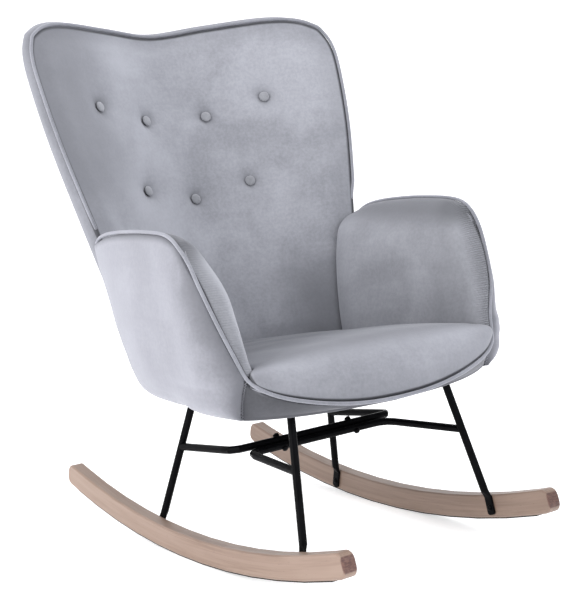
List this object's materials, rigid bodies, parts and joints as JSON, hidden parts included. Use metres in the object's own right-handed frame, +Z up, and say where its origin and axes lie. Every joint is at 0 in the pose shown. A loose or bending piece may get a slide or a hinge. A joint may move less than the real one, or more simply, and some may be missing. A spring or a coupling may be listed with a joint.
{
  "type": "rocking chair",
  "caption": "Upholstered wing-back rocking chair: a buttoned back, low arms and a seat on black tube legs, carried by curved beech rockers.",
  "frame": {"origin": "on the floor, midway between the rockers, under the centre of their arc, where the chair rests", "axes": "+Z up; the chair faces -Y, so +Y points out of its back; +X is the sitter's left"},
  "size_m": [0.6956, 0.8956, 0.9745],
  "materials": {
    "upholstery": "short-pile pale grey velvet with a soft sheen",
    "dust_cloth": "thin black non-woven cloth",
    "beech": "satin-lacquered beech",
    "plywood": "raw plywood",
    "black_steel": "semi-gloss black powder coat",
    "black_fixings": "blackened screws and bolts",
    "strip": "matte black rubber"
  },
  "bodies": {
    "root": {"anti_slip_strip_left": "strip", "anti_slip_strip_right": "strip", "arm_board_left": "plywood", "arm_board_right": "plywood", "arm_inner_pad_left": "upholstery", "arm_inner_pad_right": "upholstery", "arm_outer_pad_left": "upholstery", "arm_outer_pad_right": "upholstery", "back_board": "plywood", "back_button_1": "upholstery", "back_button_2": "upholstery", "back_button_3": "upholstery", "back_button_4": "upholstery", "back_button_5": "upholstery", "back_button_6": "upholstery", "back_button_7": "upholstery", "back_outer_pad": "upholstery", "back_pad": "upholstery", "back_piping": "upholstery", "dust_cover": "dust_cloth", "foot_screw_front_left": "black_fixings", "foot_screw_front_right": "black_fixings", "foot_screw_rear_left": "black_fixings", "foot_screw_rear_right": "black_fixings", "front_apron": "upholstery", "leg_front_left": "black_steel", "leg_front_right": "black_steel", "leg_rear_left": "black_steel", "leg_rear_right": "black_steel", "mounting_plate_front_left": "black_steel", "mounting_plate_front_right": "black_steel", "mounting_plate_rear_left": "black_steel", "mounting_plate_rear_right": "black_steel", "plate_screw_front_left_1": "black_fixings", "plate_screw_front_left_2": "black_fixings", "plate_screw_front_right_1": "black_fixings", "plate_screw_front_right_2": "black_fixings", "plate_screw_rear_left_1": "black_fixings", "plate_screw_rear_left_2": "black_fixings", "plate_screw_rear_right_1": "black_fixings", "plate_screw_rear_right_2": "black_fixings", "rocker_left": "beech", "rocker_right": "beech", "seat_board": "plywood", "seat_pad": "upholstery", "stretcher_bolt_left": "black_fixings", "stretcher_bolt_right": "black_fixings", "stretcher_front": "black_steel", "stretcher_nut_left": "black_fixings", "stretcher_nut_right": "black_fixings", "stretcher_rear": "black_steel", "tub_piping": "upholstery"}
  },
  "joints": []
}
